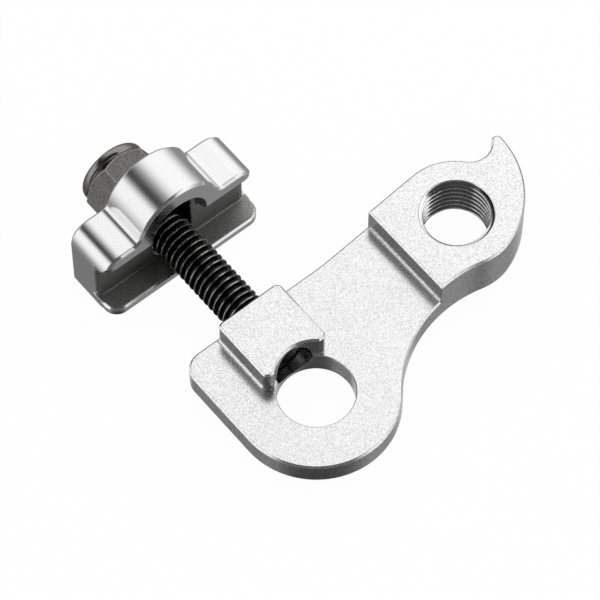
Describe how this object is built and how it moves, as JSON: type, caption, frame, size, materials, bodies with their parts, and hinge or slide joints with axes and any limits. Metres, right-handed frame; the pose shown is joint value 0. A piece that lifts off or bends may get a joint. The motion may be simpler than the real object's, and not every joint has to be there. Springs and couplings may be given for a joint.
{
  "type": "bicycle derailleur hanger with chain tensioner",
  "caption": "Machined hanger plate with an axle hole, a threaded derailleur boss and a slot block; a stud, channel cap and lock nut pull the axle back to tighten the chain.",
  "frame": {"origin": "axis of the axle hole, on the plate's outer face", "axes": "+X along the tension stud towards the end cap, +Z square to the plate towards the wheel, derailleur boss towards -Y"},
  "size_m": [0.0554, 0.0546, 0.0181],
  "materials": {
    "satin_aluminium": "fine blasted, clear",
    "polished_aluminium": "polished",
    "black_steel": "black oxide, oiled",
    "grey_steel": "dark zinc, semi-matte",
    "nylon": "natural nylon"
  },
  "bodies": {
    "hanger": {"hanger_plate": "satin_aluminium", "tension_stud": "black_steel"},
    "cap": {"end_cap": "polished_aluminium"},
    "nut": {"lock_nut": "grey_steel", "nylon_ring": "nylon"}
  },
  "joints": [
    {"name": "cap_slide", "type": "slide", "parent": "hanger", "child": "cap", "axis": [1, 0, 0], "range_m": [-0.0115, 0.001]},
    {"name": "nut_spin", "type": "hinge", "parent": "cap", "child": "nut", "pos_m": [0.0356, 0, 0.0036], "axis": [1, 0, 0], "range_deg": [-4154, 372]}
  ],
  "couplings": [
    {"joint": "nut_spin", "follows": "cap_slide", "rad_per_m": 6283.2}
  ]
}
